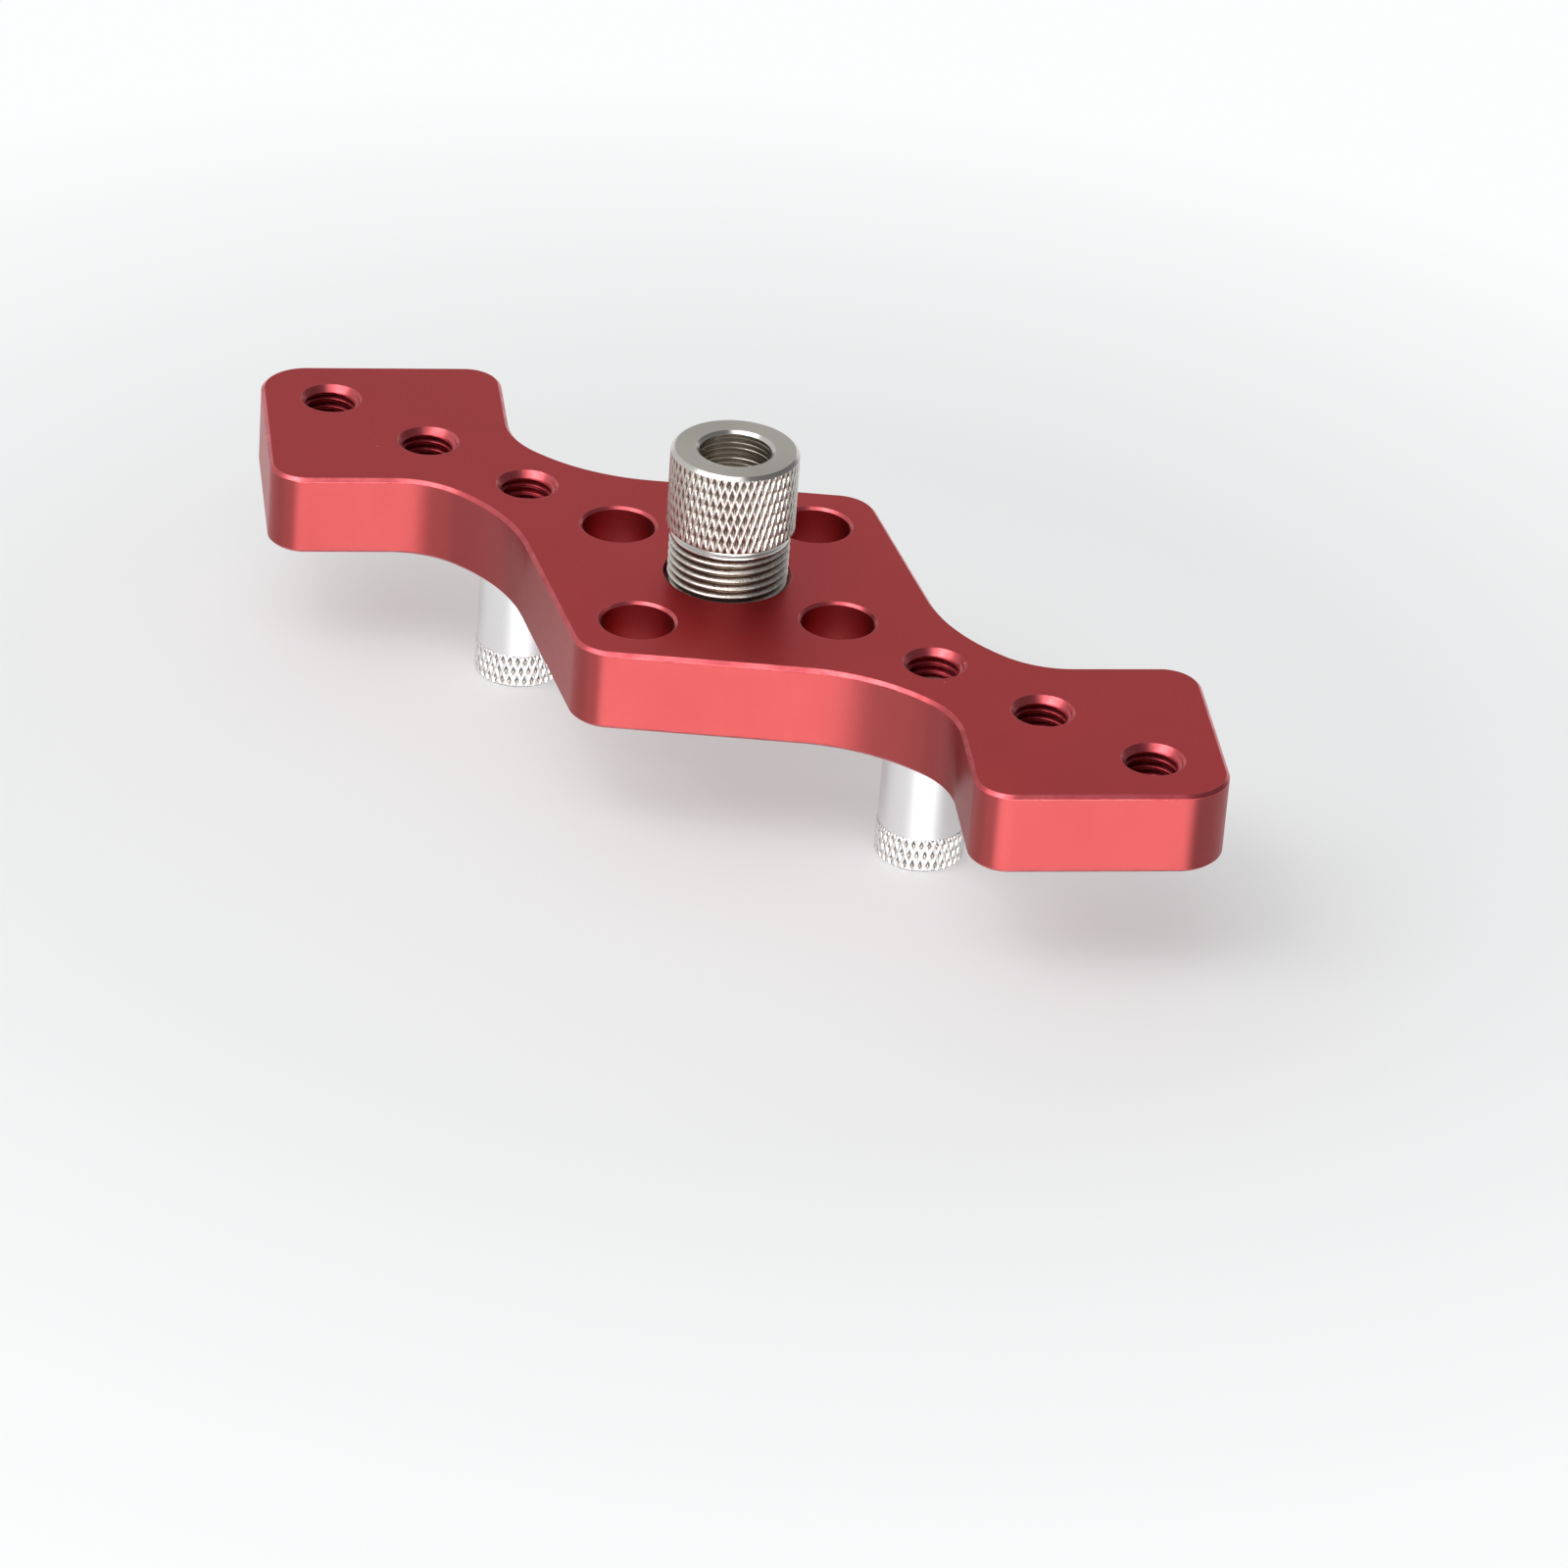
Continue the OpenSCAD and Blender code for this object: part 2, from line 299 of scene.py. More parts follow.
def outline():
    """Points of the plate's outline and their outward normals. Only the arcs have points, also at their ends."""
    spots = corners()
    n = len(spots)
    points, normals = [], []
    for i in range(n):
        here, before, after = (Vector(spots[j % n][:2]) for j in (i, i - 1, i + 1))
        r = spots[i][2]
        way_in, way_out = (here - before).normalized(), (after - here).normalized()
        turn = math.atan2(way_in.cross(way_out), way_in.dot(way_out))
        side = math.copysign(1, turn)
        left = Vector((-way_in.y, way_in.x))
        start = here - way_in * r * math.tan(abs(turn) / 2)
        centre = start + left * side * r
        steps = max(LEAST_ARC_STEPS, round(abs(turn) * max(r, LEAST_ARC_R) / ARC_STEP))
        for k in range(steps + 1):
            spoke = -left * side
            spoke.rotate(Matrix.Rotation(turn * k / steps, 2))
            points.append(centre + spoke * r)
            normals.append(spoke * side)
    return np.array(points), np.array(normals)


def thread_height(angle, z, half_flat):
    """How far a right-hand thread stands out from its smallest radius, without its outer flat."""
    u = (z - PITCH * angle / TAU) / PITCH
    u = np.abs(u - np.round(u)) * PITCH
    return np.maximum(0, u - half_flat) / math.tan(HALF_THREAD_ANGLE)


def softer_min(a, b, reach):
    """The smaller of two heights, with the corner between them rounded off over that reach."""
    share = np.clip(0.5 + 0.5 * (b - a) / reach, 0, 1)
    return b + (a - b) * share - reach * share * (1 - share)


def ramp(height, reach):
    """Rises evenly from 0 to 1 over that reach."""
    return np.clip(height / reach, 0, 1)


def smooth(share):
    return share * share * (3 - 2 * share)


def knurl(angle, z, count, length, depth, flat, floor, second):
    """How deep a knurl cuts: two crossing sets of ridges round sunk diamonds, each length high.

    flat is the share of the pitch on top of a ridge, floor the share at the bottom between two of them, and second
    the height of the ridges that lean left, as a share of that of the others.
    """
    around, along = count * angle / TAU, z / length
    ridges = []
    for p, share in ((around + along, second), (around - along, 1)):
        away = np.abs(p - np.round(p)) * 2
        ridges.append(share * np.clip((1 - floor - away) / (1 - flat - floor), 0, 1))
    return depth * (1 - np.maximum(*ridges))


def rows_between(low, high, step):
    return np.linspace(low, high, max(2, round((high - low) / step) + 1))


def joined(*parts):
    """One rising list of heights out of several that may share some."""
    return np.unique(np.round(np.concatenate(parts), 6))


# ---------------------------------------------------------------- materials

def new_material(name, colour, roughness, metallic=1.0, marks=0.0, coat=0.0):
    """A metal. marks is how much its tool marks stretch the gloss, and coat the weight of its clear skin."""
    made = bpy.data.materials.new(name)
    made.use_nodes = True
    shader = made.node_tree.nodes["Principled BSDF"]
    shader.inputs["Base Color"].default_value = (*colour, 1)
    shader.inputs["Metallic"].default_value = metallic
    shader.inputs["Roughness"].default_value = roughness
    if marks:
        shader.inputs["Anisotropic"].default_value = marks
        shader.inputs["Anisotropic Rotation"].default_value = MARKS_TURN
        tangent = made.node_tree.nodes.new("ShaderNodeTangent")
        tangent.direction_type = "UV_MAP"
        tangent.uv_map = "marks"
        made.node_tree.links.new(tangent.outputs[0], shader.inputs["Tangent"])
    if coat:
        shader.inputs["Coat Weight"].default_value = coat
        shader.inputs["Coat Roughness"].default_value = COAT_ROUGHNESS
    return made, shader


def scaled(colour, *factors):
    """A colour times one factor, or times one for each channel, and never above 1."""
    return tuple(min(1, c * f) for c, f in zip(colour, factors * 3 if len(factors) == 1 else factors))


class Nodes:
    """Short names for the nodes that the materials, the world and a lamp are made of."""

    def __init__(self, made):
        self.tree = made.node_tree
        self.coords = self.tree.nodes.new("ShaderNodeTexCoord").outputs["Object"]

    def put(self, kind, inputs=None, **settings):
        node = self.tree.nodes.new(kind)
        for key, value in settings.items():
            setattr(node, key, value)
        for key, value in (inputs or {}).items():
            if isinstance(value, bpy.types.NodeSocket):
                self.tree.links.new(value, node.inputs[key])
            else:
                node.inputs[key].default_value = value
        return node

    def stretched(self, scale):
        """Object coordinates times a scale for each axis."""
        return self.put("ShaderNodeMapping", {"Vector": self.coords, "Scale": scale}).outputs[0]

    def noise(self, scale, detail=2.0, vector=None, roughness=0.5):
        return self.put("ShaderNodeTexNoise", {"Vector": vector or self.coords, "Scale": scale, "Detail": detail,
                                               "Roughness": roughness}).outputs["Fac"]

    def span(self, value, low, high, out_low=0, out_high=1, **settings):
        return self.put("ShaderNodeMapRange", {"Value": value, "From Min": low, "From Max": high, "To Min": out_low,
                                               "To Max": out_high}, **settings).outputs[0]

    def spread(self, noise, low=0, high=1):
        """Stretches the middle of a noise, where most of it lies, from low to high."""
        return self.span(noise, 0.3, 0.7, low, high)

    def math(self, operation, a, b=0.0):
        return self.put("ShaderNodeMath", {0: a, 1: b}, operation=operation).outputs[0]

    def times(self, a, b):
        return self.math("MULTIPLY", a, b)

    def blend(self, share, a, b):
        """From colour a to colour b. In the Mix node, colours are inputs 6 and 7 and output 2."""
        node = self.put("ShaderNodeMix", {"Factor": share}, data_type="RGBA")
        for socket, value in ((node.inputs[6], a), (node.inputs[7], b)):
            if isinstance(value, bpy.types.NodeSocket):
                self.tree.links.new(value, socket)
            else:
                socket.default_value = (*value, 1)
        return node.outputs[2]

    def bump(self, height, distance, strength):
        return self.put("ShaderNodeBump", {"Height": height, "Distance": distance, "Strength": strength}).outputs[0]

    def part(self, vector, axis):
        return self.put("ShaderNodeSeparateXYZ", {0: vector}).outputs[axis]

    def radius(self, centre=(0.0, 0.0)):
        """Distance from a vertical axis, in metres."""
        away = self.put("ShaderNodeVectorMath", {0: self.coords, 1: (centre[0], centre[1], 0)}, operation="SUBTRACT")
        flat = self.put("ShaderNodeVectorMath", {0: away.outputs[0], 1: (1, 1, 0)}, operation="MULTIPLY")
        return self.put("ShaderNodeVectorMath", {0: flat.outputs[0]}, operation="LENGTH").outputs["Value"]

    def height(self):
        return self.part(self.coords, "Z")

    def rings(self, value, per_metre, seed):
        """Uneven tool marks along one coordinate."""
        vector = self.put("ShaderNodeCombineXYZ", {0: value, 1: seed, 2: seed}).outputs[0]
        return self.noise(per_metre, 3.0, vector, 0.6)

    def link(self, output, socket):
        self.tree.links.new(output, socket)


def plate_face():
    """Blasted and anodised: even and satin, with a few specks of dust."""
    made, shader = new_material("plate_face", (0.44, 0.024, 0.028), 0.5, coat=0.21)
    n = Nodes(made)
    colour = n.blend(n.spread(n.noise(55, 3)), (0.425, 0.022, 0.026), (0.455, 0.026, 0.031))
    # One cell in five holds a speck round its middle
    cells = n.put("ShaderNodeTexVoronoi", {"Vector": n.coords, "Scale": 170.0, "Randomness": 1.0})
    chosen = n.span(n.part(cells.outputs["Color"], "X"), 0.8, 0.81)
    speck = n.times(n.span(cells.outputs["Distance"], 0.014, 0.034, 1, 0), chosen)
    colour = n.blend(n.times(speck, 0.7), colour, (0.62, 0.2, 0.22))
    n.link(colour, shader.inputs["Base Color"])
    grain = n.noise(2600, 3, roughness=0.6)
    n.link(n.spread(grain, 0.46, 0.54), shader.inputs["Roughness"])
    n.link(n.bump(grain, 1e-5, 0.35), shader.inputs["Normal"])
    return made


def plate_wall():
    """Milled and anodised: smoother than the face, with a thin ragged line under the upper bevel."""
    made, shader = new_material("plate_wall", (0.44, 0.071, 0.072), 0.45, marks=1.0, coat=0.28)
    n = Nodes(made)
    cloud = n.noise(1.0, 4, n.stretched((120, 120, 60)))
    colour = n.blend(n.spread(cloud), (0.428, 0.067, 0.068), (0.452, 0.075, 0.076))
    z = n.height()
    bevel_foot = (PLATE_TOP - PLATE_BEVEL) * MM
    line = n.times(n.span(z, bevel_foot - 2e-4, bevel_foot - 1.4e-4),
                   n.span(z, bevel_foot - 4e-5, bevel_foot + 1e-5, 1, 0))
    ragged = n.span(n.noise(900, 4), 0.5, 0.56)
    colour = n.blend(n.times(n.times(line, ragged), 0.6), colour, (0.16, 0.012, 0.018))
    n.link(colour, shader.inputs["Base Color"])
    marks = n.noise(1.0, 3, n.stretched((260, 260, 2400)))
    n.link(n.spread(marks, 0.435, 0.465), shader.inputs["Roughness"])
    n.link(n.bump(marks, 3e-6, 0.3), shader.inputs["Normal"])
    return made


def plate_edge():
    """The bevels, cut after blasting and so brighter."""
    made, shader = new_material("plate_edge", (0.55, 0.088, 0.103), 0.34, coat=0.25)
    n = Nodes(made)
    wear = n.noise(420, 4)
    n.link(n.blend(n.span(wear, 0.35, 0.65), (0.48, 0.07, 0.084), (0.60, 0.106, 0.12)), shader.inputs["Base Color"])
    n.link(n.spread(wear, 0.40, 0.28), shader.inputs["Roughness"])
    return made


def plate_bore():
    """Drilled walls with fine rings."""
    made, shader = new_material("plate_bore", (0.5, 0.065, 0.068), 0.36, marks=0.4, coat=0.3)
    n = Nodes(made)
    marks = n.rings(n.height(), 5200, 3.1)
    n.link(n.blend(n.spread(marks), (0.45, 0.055, 0.058), (0.54, 0.075, 0.078)), shader.inputs["Base Color"])
    n.link(n.bump(marks, 2e-5, 0.5), shader.inputs["Normal"])
    return made


def plate_thread():
    """Tapped threads, with torn crests."""
    made, shader = new_material("plate_thread", (0.36, 0.04, 0.05), 0.33)
    n = Nodes(made)
    torn = n.noise(1500, 4)
    n.link(n.blend(n.span(torn, 0.35, 0.65), (0.30, 0.032, 0.04), (0.44, 0.055, 0.068)), shader.inputs["Base Color"])
    n.link(n.bump(torn, 3e-5, 0.4), shader.inputs["Normal"])
    return made


def turned(name, colour, roughness, marks_per_metre, along, depth=1e-5, spread=0.05, centre=(0.0, 0.0),
           contrast=0.11):
    """A turned metal face, with marks along the radius or the height.

    spread is how much the marks change the roughness, and contrast how much they change the colour.
    """
    made, shader = new_material(name, colour, roughness, marks=0.6)
    n = Nodes(made)
    marks = n.rings(n.radius(centre) if along == "radius" else n.height(), marks_per_metre, 1.7)
    share = n.times(n.spread(marks), n.span(n.noise(260, 3), 0.2, 0.8, 0.6, 1))
    n.link(n.blend(share, scaled(colour, 1 - contrast), scaled(colour, 1 + contrast)), shader.inputs["Base Color"])
    n.link(n.spread(marks, roughness - spread, roughness + spread), shader.inputs["Roughness"])
    n.link(n.bump(marks, depth, 0.6), shader.inputs["Normal"])
    return made


def rolled(name, colour, roughness, grain_per_metre, depth, groove_shade_radii=None, centre=(0.0, 0.0), marks=0.0):
    """A rolled or cut metal form, with a fine uneven grain.

    The four radii give painted shade in the grooves: the metal darkens from the first to the second and clears from the
    third to the last.
    """
    made, shader = new_material(name, colour, roughness, marks=marks)
    n = Nodes(made)
    grain = n.noise(grain_per_metre, 4)
    tone = n.blend(n.spread(grain), scaled(colour, 0.84), scaled(colour, 1.1))
    if groove_shade_radii:
        a, b, c, d = (g * MM for g in groove_shade_radii)
        # Painted shade: the metal darkens towards the bottom of the grooves and the thread roots, where shade would
        # fall
        edge = n.math("ADD", n.radius(centre), n.spread(grain, -2e-5, 2e-5))
        painted_groove_shade = n.times(n.span(edge, a, b), n.span(edge, c, d, 1, 0))
        tone = n.blend(painted_groove_shade, tone, scaled(colour, 0.24, 0.19, 0.16))
    n.link(tone, shader.inputs["Base Color"])
    n.link(n.spread(grain, roughness - 0.05, roughness + 0.07), shader.inputs["Roughness"])
    n.link(n.bump(grain, depth, 0.5), shader.inputs["Normal"])
    return made


# ---------------------------------------------------------------- plate

# Material indices
FACE, WALL, BORE, THREAD, EDGE = range(5)


def plain_hole(shell, x, y):
    """A drilled hole with a bevel at both ends. Like threaded_hole, it returns its place and rim for cap."""
    r, e = PLAIN_R, PLAIN_BEVEL
    lathe(shell, [(r + e + LIP, PLATE_TOP), (r + e, PLATE_TOP), (r, PLATE_TOP - e), (r, PLATE_Z + e),
                  (r + e, PLATE_Z), (r + e + LIP, PLATE_Z)], [FACE, EDGE, BORE, EDGE, FACE], EDGE, HOLE_COLUMNS, (x, y))
    return x, y, r + e + LIP, HOLE_COLUMNS


def threaded_hole(shell, x, y, crest_r, root_r, mouth_r, half_flat, columns, mouth, plain=0.0):
    """A hole with a helical thread and a countersink at both ends, whose first turns have the zone mouth.

    plain is how far down the thread starts.
    """
    def wall_radius(angle, z):
        thread_r = np.minimum(crest_r + thread_height(angle, z, half_flat), root_r)
        if plain:
            thread_r = root_r - (root_r - thread_r) * ramp(PLATE_TOP - plain - z, THREAD_FADE)
        sink_r = mouth_r - np.minimum(PLATE_TOP - z, z - PLATE_Z)
        return np.maximum(thread_r, sink_r)

    def zone(z):
        return np.where(np.minimum(PLATE_TOP - z, z - PLATE_Z) < mouth_r - root_r + MOUTH_REACH, mouth, THREAD)

    lathe(shell, [(mouth_r + LIP, PLATE_TOP), (mouth_r, PLATE_TOP), (mouth_r - LIP, PLATE_TOP - LIP)],
          [FACE, EDGE], EDGE, columns, (x, y))
    lathe(shell, [(mouth_r - LIP, PLATE_Z + LIP), (mouth_r, PLATE_Z), (mouth_r + LIP, PLATE_Z)],
          [EDGE, FACE], EDGE, columns, (x, y))
    relief(shell, rows_between(PLATE_Z + LIP, PLATE_TOP - LIP, PITCH / TURN_ROWS), wall_radius, zone, columns, (x, y),
           downwards=True)
    return x, y, mouth_r + LIP, columns


def make_plate():
    shell = Shell()
    points, normals = outline()

    # Outer wall with its bevels, as offsets from the outline
    b = PLATE_BEVEL
    rows, gaps = broken([(-b - LIP, PLATE_Z), (-b, PLATE_Z), (0, PLATE_Z + b), (0, PLATE_TOP - b), (-b, PLATE_TOP),
                         (-b - LIP, PLATE_TOP)], [FACE, EDGE, WALL, EDGE, FACE], EDGE)
    offset, z, out, rise = (rows[:, i, None, None] for i in range(4))
    level = (len(rows), len(points), 1)
    wall = np.concatenate([points + offset * normals, np.broadcast_to(z, level)], axis=-1)
    shell.grid(wall, gaps, np.concatenate([out * normals, np.broadcast_to(rise, level)], axis=-1))

    holes = []
    for k in range(4):
        a = k * math.pi / 2
        holes.append(plain_hole(shell, PLAIN_CIRCLE_R * math.cos(a), PLAIN_CIRCLE_R * math.sin(a)))
    holes.append(threaded_hole(shell, 0, 0, crest_r=BUSH_HOLE_CREST_R, root_r=BUSH_HOLE_R,
                               mouth_r=BUSH_HOLE_R + PLATE_BEVEL, half_flat=BUSH_HOLE_FLAT,
                               columns=BUSH_HOLE_COLUMNS, mouth=THREAD, plain=BUSH_HOLE_PLAIN))
    for x in TAP_X:
        for side in (-1, 1):
            holes.append(threaded_hole(shell, side * x, 0, crest_r=TAP_CREST_R, root_r=TAP_ROOT_R,
                                       mouth_r=TAP_MOUTH_R, half_flat=TAP_FLAT, columns=TAP_COLUMNS, mouth=EDGE))

    # Flat faces
    loops = [points - (b + LIP) * normals]
    for x, y, r, columns in holes:
        loops.append(circle_at((x, y), r, 0, columns)[:, :2])
    shell.cap(loops, holes, PLATE_TOP, True, FACE)
    shell.cap(loops, holes, PLATE_Z, False, FACE)
    return shell.build("plate_body", [plate_face(), plate_wall(), plate_bore(), plate_thread(), plate_edge()])


# ---------------------------------------------------------------- bush

# Material indices
TOP, KNURLED, SHANK, INSIDE, PLAIN = range(5)


def bush_head(shell):
    """The knurled wall of the head and the ring under it."""
    columns = BUSH_KNURL["count"] * RIDGE_COLUMNS
    rim_z = BUSH_TOP - RIM

    def head_radius(angle, z):
        crest = BUSH_HEAD_R - knurl(angle, z - BUSH_Z, **BUSH_KNURL) * ramp(rim_z + KNURL_OVER - z, KNURL_FADE)
        lower = BUSH_HEAD_R - BUSH_EDGE + (z - BUSH_Z)
        upper = BUSH_HEAD_R - RIM + (BUSH_TOP - z)
        return np.minimum(np.minimum(crest, lower), upper)

    def zone(z):
        return np.where(z > rim_z, PLAIN, KNURLED)

    # Closer rows at both bevels than along the knurl
    low, high = BUSH_Z + 0.4, rim_z - 0.1
    z = joined(rows_between(BUSH_Z, low, EDGE_STEP), np.arange(low, high, BUSH_KNURL["length"] / DIAMOND_ROWS),
               rows_between(high - 0.1, BUSH_TOP - BREAK, RIM_STEP))
    wall = relief(shell, z, head_radius, zone, columns)
    ring(shell, circle_at((0, 0), BUSH_THREAD_R - NECK_DEPTH, BUSH_Z, columns), wall[0], PLAIN, -1)


def bush_shank(shell):
    """The threaded shank with its neck. Its crest is half a pitch from the crest of the hole's thread."""
    neck_z = BUSH_Z - NECK_H

    def shank_radius(angle, z):
        root_r = BUSH_THREAD_R - OUTER_DEPTH
        thread_r = softer_min(root_r + thread_height(angle, z, SHANK_FLAT), BUSH_THREAD_R, CREST_ROUNDING)
        fade = smooth(ramp(neck_z + THREAD_OVER - z, THREAD_FADE))
        grooved = BUSH_THREAD_R - (BUSH_THREAD_R - thread_r) * fade
        neck = BUSH_THREAD_R - NECK_DEPTH * smooth(ramp(z - neck_z - NECK_START, NECK_FADE))
        return np.minimum(np.minimum(grooved, neck), BUSH_THREAD_R - BUSH_EDGE + (z - BUSH_LOW))

    def zone(z):
        return np.where(z > neck_z + THREAD_OVER, PLAIN, SHANK)

    # Fine rows to where the thread is gone, then wider ones
    plain_z = neck_z + 0.3
    z = np.concatenate([rows_between(BUSH_LOW, plain_z, PITCH / FINE_TURN_ROWS),
                        rows_between(plain_z + EDGE_STEP, BUSH_Z, EDGE_STEP)])
    return relief(shell, z, shank_radius, zone, BUSH_COLUMNS)


def bush_inside(shell):
    """The top face, the bore with the rings of its drill, and the lower bevel."""
    rim_r, mouth_r = BUSH_HEAD_R - RIM, BORE_R + BORE_BEVEL
    face_r = mouth_r + 1
    # Where the straight bore ends under the two rounded edges
    high, low = BUSH_TOP - BORE_BEVEL - BREAK - LIP, BUSH_LOW + BORE_BEVEL + BREAK + LIP
    lathe(shell, [(rim_r + BREAK, BUSH_TOP - BREAK), (rim_r, BUSH_TOP), (mouth_r, BUSH_TOP),
                  (BORE_R, BUSH_TOP - BORE_BEVEL), (BORE_R, high)], [PLAIN, TOP, PLAIN, INSIDE], PLAIN, BUSH_COLUMNS)
    lathe(shell, [(BORE_R, low), (BORE_R, BUSH_LOW + BORE_BEVEL), (mouth_r, BUSH_LOW), (face_r, BUSH_LOW)],
          [INSIDE, PLAIN, TOP], PLAIN, BUSH_COLUMNS)

    def bore_radius(angle, z):
        """Each ring is tilted, and deeper on one side, which is another for each ring."""
        turn = (BUSH_TOP - RING_TILT * np.sin(angle) - z) / RING_PITCH
        away = np.abs(turn - np.round(turn)) * RING_PITCH
        ends = ramp(np.minimum(high - z, z - low), RING_FADE)
        depth = RING_DEPTH + RING_VARIES * np.sin(RING_SHIFT * np.round(turn) + angle)
        return BORE_R + ends * depth * np.clip(1 - away / RING_HALF, 0, 1)

    relief(shell, rows_between(low, high, BORE_STEP), bore_radius, INSIDE, BUSH_COLUMNS, downwards=True)
    return circle_at((0, 0), face_r, BUSH_LOW, BUSH_COLUMNS)


def make_bush():
    shell = Shell()
    bush_head(shell)
    shank = bush_shank(shell)
    lower_face = bush_inside(shell)
    ring(shell, lower_face, shank[0], TOP, -1)
    return shell.build("bush_body", [
        turned("bush_face", (0.478, 0.452, 0.41), 0.36, 5200, "radius"),
        # The knurl and the thread get painted shade in their grooves
        rolled("bush_knurl", (0.70, 0.69, 0.645), 0.32, 2600, 1e-5, groove_shade_radii=(8.5, 8.55, 8.8, 8.97), marks=0.8),
        rolled("bush_thread", (0.66, 0.635, 0.59), 0.3, 1900, 4e-6, groove_shade_radii=(7, 7.1, 7.93, 8.33)),
        turned("bush_bore", (0.70, 0.65, 0.58), 0.26, 2600, "height", depth=2e-5, spread=0.06, contrast=0.2),
        turned("bush_edge", (0.62, 0.60, 0.57), 0.26, 2600, "height"),
    ])


# ---------------------------------------------------------------- posts

def make_post(name, x):
    body, knurled, thread, end = range(4)
    shell = Shell()
    centre = (x, 0)
    columns = FOOT_KNURL["count"] * RIDGE_COLUMNS

    def foot_radius(angle, z):
        cut = knurl(angle, z + FOOT_KNURL_SHIFT, **FOOT_KNURL) * ramp(FOOT_H - z, FOOT_KNURL_FADE)
        shoulder = np.where(z > FOOT_H, POST_R, np.minimum(FOOT_R, POST_R + (FOOT_H - z)))
        return np.minimum(shoulder - cut, FOOT_R - FOOT_BEVEL + z)

    # Closer rows at the bevel and at the shoulder than along the knurl
    low, high = 0.6, FOOT_H - 0.2
    z = joined(rows_between(0, low, EDGE_STEP), np.arange(low, high, FOOT_KNURL["length"] / DIAMOND_ROWS),
               rows_between(high, FOOT_H + SHOULDER_STEP, SHOULDER_STEP))
    foot = relief(shell, z, foot_radius, knurled, columns, centre)
    ring(shell, circle_at(centre, CUP_R, 0, columns), foot[0], end, -1)
    lathe(shell, [(AXIS_R, CUP_DEPTH), (CUP_R, 0)], [end], end, CUP_COLUMNS, centre)

    # Smooth body and its shoulder under the plate
    lathe(shell, [(POST_R, FOOT_H), (POST_R, PLATE_Z - POST_EDGE), (POST_R - POST_EDGE, PLATE_Z),
                  (SHOULDER_INNER_R, PLATE_Z)], [body, body, end], body, POST_COLUMNS, centre)

    def stud_radius(angle, z):
        core = STUD_R - OUTER_DEPTH
        flank = np.minimum(core + thread_height(angle, z, STUD_FLAT), STUD_R)
        fade = ramp(z - PLATE_Z - STUD_PLAIN, STUD_FADE)
        return np.minimum(core + (flank - core) * fade, STUD_R - STUD_BEVEL + (STUD_TOP - z))

    stud = relief(shell, rows_between(PLATE_Z, STUD_TOP, PITCH / TURN_ROWS), stud_radius, thread, TAP_COLUMNS, centre)
    ring(shell, circle_at(centre, AXIS_R, STUD_TOP, TAP_COLUMNS), stud[-1], end, 1)
    silver = (0.85, 0.865, 0.87)
    axis = (x * MM, 0)
    return shell.build(name, [
        turned(name + "_body", silver, 0.28, 3800, "height", depth=1e-7, spread=0.008, contrast=0.015),
        # The foot's knurl gets painted shade in its grooves
        rolled(name + "_knurl", (0.84, 0.845, 0.84), 0.32, 2400, 1e-5, groove_shade_radii=(5.87, 5.93, 6.02, 6.16), centre=axis,
               marks=0.8),
        rolled(name + "_thread", silver, 0.3, 1900, 2e-5),
        turned(name + "_end", silver, 0.32, 3200, "radius", centre=axis),
    ])


PIECES = [
    (make_plate(), "plate", "plate", "guide_plate"),
    (make_bush(), "bush", "bush", "drill_bush"),
    (make_post("post_left_piece", -TAP_X[0]), "post_left", "post", "guide_post_left"),
    (make_post("post_right_piece", TAP_X[0]), "post_right", "post", "guide_post_right"),
]
for piece, body, slot, node in PIECES:
    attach(piece, body)
    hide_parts(node)


# ---------------------------------------------------------------- floor, light and camera

def make_floor():
    """A plain pale floor, a little uneven in tone like paper, that whitens to the backdrop away from the object."""
    half = 6.0
    mesh = bpy.data.meshes.new("floor")
    mesh.from_pydata([(-half, -half, 0), (half, -half, 0), (half, half, 0), (-half, half, 0)], [], [(0, 1, 2, 3)])
    floor = bpy.data.objects.new("floor", mesh)
    bpy.context.scene.collection.objects.link(floor)
    made, shader = new_material("floor_paper", (0.80, 0.81, 0.81), 0.85, 0.0)
    n = Nodes(made)
    n.link(n.blend(n.spread(n.noise(3.0, 3)), (0.79, 0.805, 0.81), (0.82, 0.825, 0.825)), shader.inputs["Base Color"])
    path = n.put("ShaderNodeLightPath").outputs
    seen = n.math("MAXIMUM", n.math("MAXIMUM", path["Is Camera Ray"], path["Is Glossy Ray"]),
                  path["Is Transmission Ray"])
    # Within 0.1 m of the bush the paper shows most, and beyond 0.23 m the backdrop's white
    share = n.times(seen, n.span(n.radius(), 0.1, 0.23, 0.42, 0.985))
    white = n.put("ShaderNodeEmission", {"Color": (*BACKDROP, 1), "Strength": 1.0}).outputs[0]
    mixed = n.put("ShaderNodeMixShader", {0: share, 1: shader.outputs[0], 2: white}).outputs[0]
    n.link(mixed, made.node_tree.nodes["Material Output"].inputs[0])
    mesh.materials.append(made)


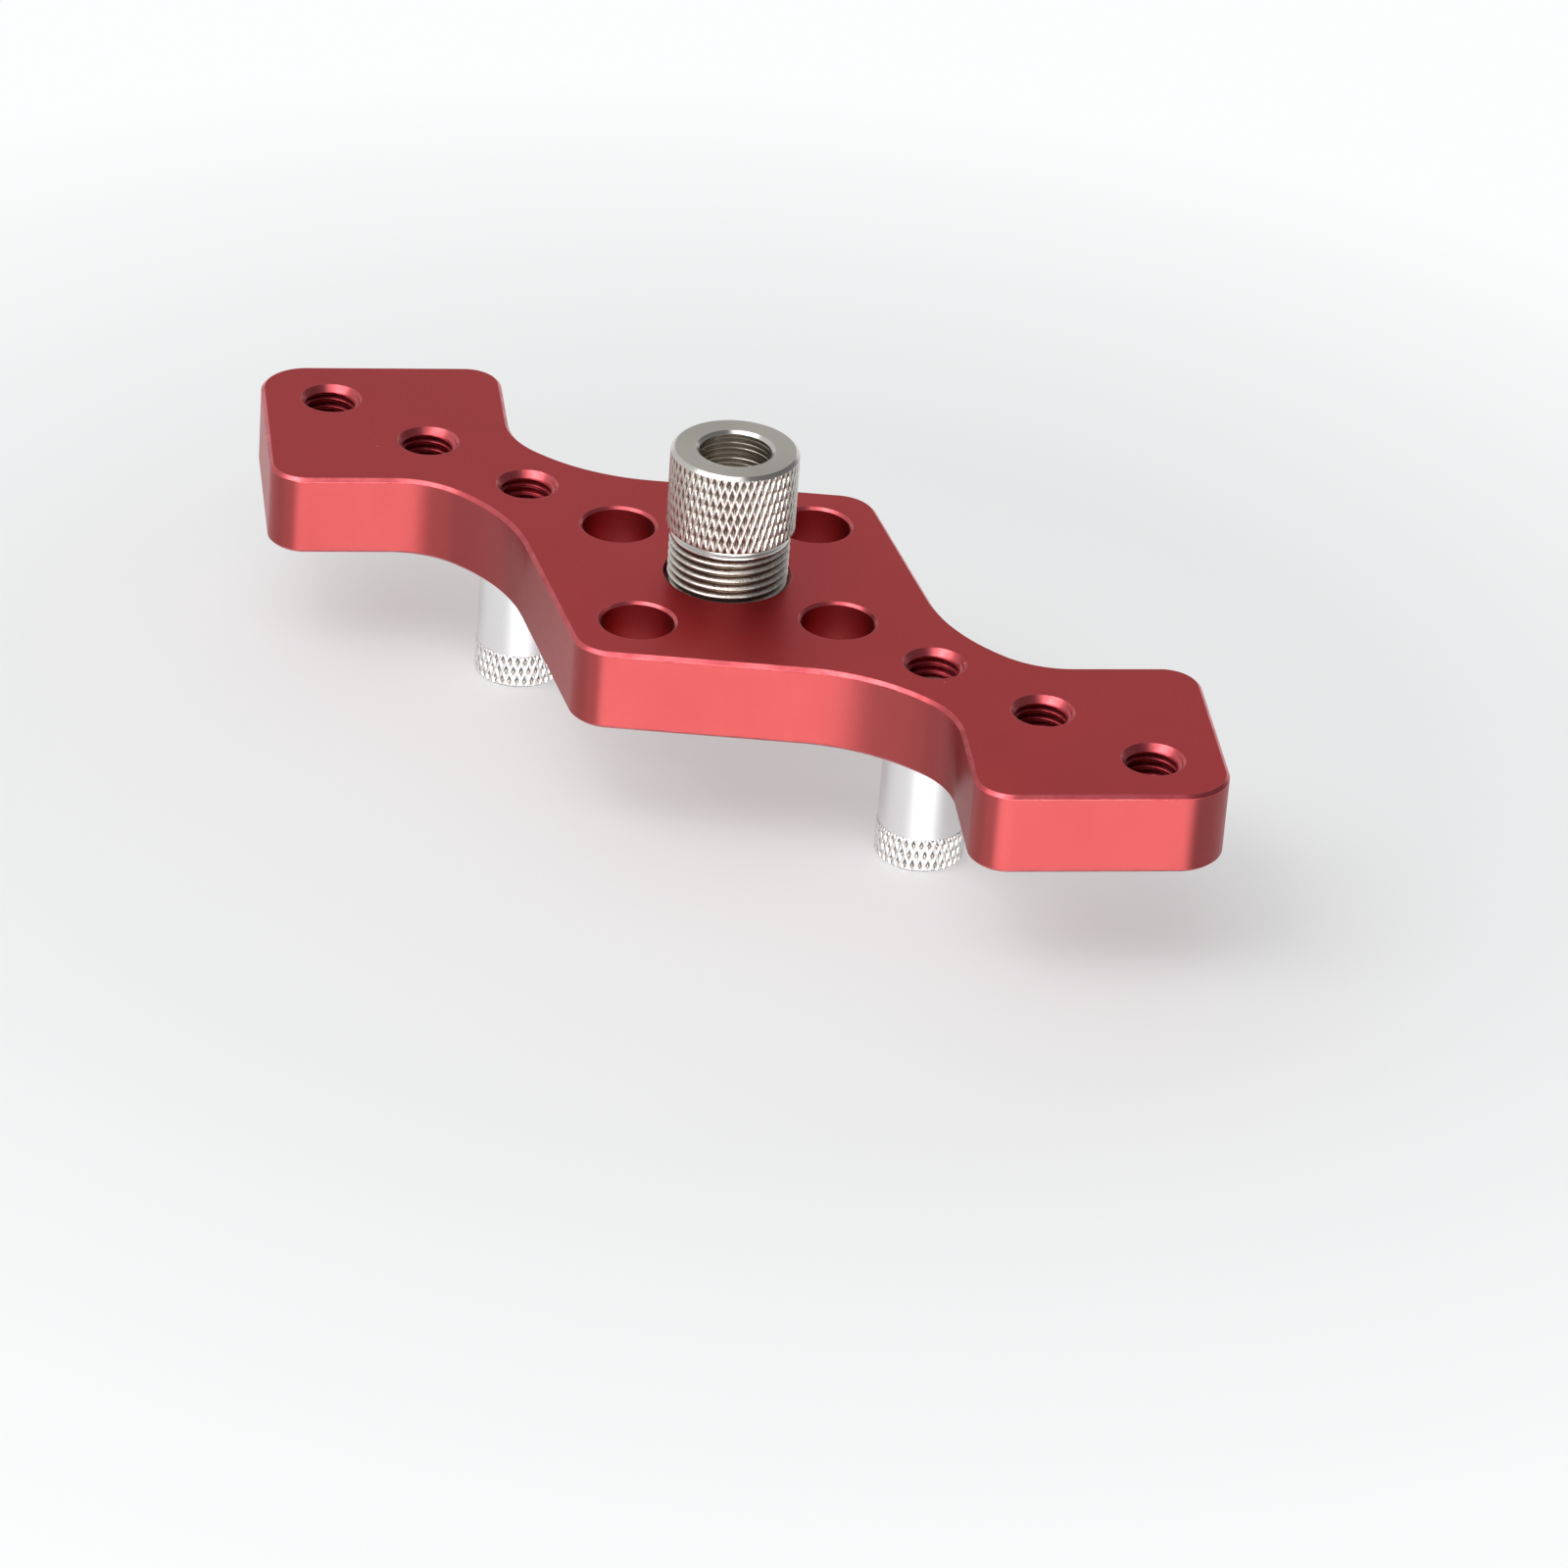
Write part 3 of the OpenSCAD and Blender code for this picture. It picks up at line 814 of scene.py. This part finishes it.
def make_world():
    """A grey room with a window on the left, a pale patch behind the object and a low white wall all round."""
    world = bpy.data.worlds.new("studio")
    bpy.context.scene.world = world
    world.use_nodes = True
    n = Nodes(world)
    way = n.put("ShaderNodeTexCoord").outputs["Generated"]

    def patch(azimuth, elevation, reach, core):
        """Share of a round patch, full up to core degrees from its middle and nothing beyond reach."""
        toward = n.put("ShaderNodeVectorMath", {0: way, 1: direction(azimuth, elevation)}, operation="DOT_PRODUCT")
        return n.span(toward.outputs["Value"], math.cos(math.radians(reach)), math.cos(math.radians(core)),
                      interpolation_type="SMOOTHSTEP")

    colour = n.blend(patch(azimuth=-172, elevation=48, reach=62, core=22), (0.2, 0.2, 0.205), (0.8, 0.8, 0.8))
    colour = n.blend(patch(azimuth=130, elevation=27, reach=46, core=12), colour, (0.72, 0.72, 0.72))
    wall = n.span(n.part(way, "Z"), 0.2, 0.11)
    colour = n.blend(wall, colour, BACKDROP)
    n.link(colour, world.node_tree.nodes["Background"].inputs[0])


def direction(azimuth, elevation):
    """Unit vector towards a compass angle from +X and a height above the horizon, in degrees."""
    a, e = math.radians(azimuth), math.radians(elevation)
    return Vector((math.cos(a) * math.cos(e), math.sin(a) * math.cos(e), math.sin(e)))


def make_lamp(name, azimuth, elevation, distance, width, height, power, core=None):
    """A softbox that faces the object. Beyond a core, as a share of its width, it fades to its two ends."""
    lamp = bpy.data.lights.new(name, "AREA")
    lamp.shape = "RECTANGLE"
    lamp.size, lamp.size_y = width, height
    lamp.energy = power
    if core is not None:
        lamp.use_nodes = True
        n = Nodes(lamp)
        along = n.part(n.put("ShaderNodeNewGeometry").outputs["Parametric"], "X")
        away = n.math("ABSOLUTE", n.math("SUBTRACT", along, 0.5))
        fade = n.span(away, core, 0.5, 1, 0, interpolation_type="SMOOTHSTEP")
        n.link(fade, lamp.node_tree.nodes["Emission"].inputs["Strength"])
    holder = bpy.data.objects.new(name, lamp)
    way = direction(azimuth, elevation)
    holder.location = AIM + way * distance
    holder.rotation_euler = way.to_track_quat("Z", "Y").to_euler()
    holder.visible_camera = False
    bpy.context.scene.collection.objects.link(holder)


def make_camera():
    """The camera's place and turn, fitted to the outline and holes of the plate in the photograph."""
    azimuth, elevation, roll = (math.radians(v) for v in (36.371, 30.042, 4.264))
    distance, shift_right, shift_down = 1.04062, 0.007926, 0.029635
    focal_pixels, frame_pixels, sensor = 7600.95, 1600, 36
    back = Vector((math.sin(azimuth) * math.cos(elevation), -math.cos(azimuth) * math.cos(elevation),
                   math.sin(elevation)))
    flat = Vector((math.cos(azimuth), math.sin(azimuth), 0))
    up = back.cross(flat)
    right = flat * math.cos(roll) + up * math.sin(roll)
    over = up * math.cos(roll) - flat * math.sin(roll)
    place = back * distance + right * shift_right - over * shift_down + Vector((0, 0, PLATE_TOP * MM))
    data = bpy.data.cameras.new("camera")
    data.sensor_width = sensor
    data.lens = focal_pixels * sensor / frame_pixels
    data.clip_start = 0.01
    camera = bpy.data.objects.new("camera", data)
    turn = Matrix((right, over, back)).transposed().to_4x4()
    camera.matrix_world = Matrix.Translation(place) @ turn
    bpy.context.scene.collection.objects.link(camera)
    bpy.context.scene.camera = camera


make_floor()
make_world()
make_lamp("key", azimuth=-108, elevation=52, distance=1.1, width=0.7, height=0.6, power=3.8)
make_lamp("high", azimuth=-66, elevation=60, distance=1.1, width=0.7, height=0.5, power=2.4)
make_lamp("front", azimuth=-47, elevation=-0.9, distance=0.62, width=1.12, height=0.028, power=7.8, core=0.18)
make_camera()
bpy.context.scene.view_settings.view_transform = "Standard"
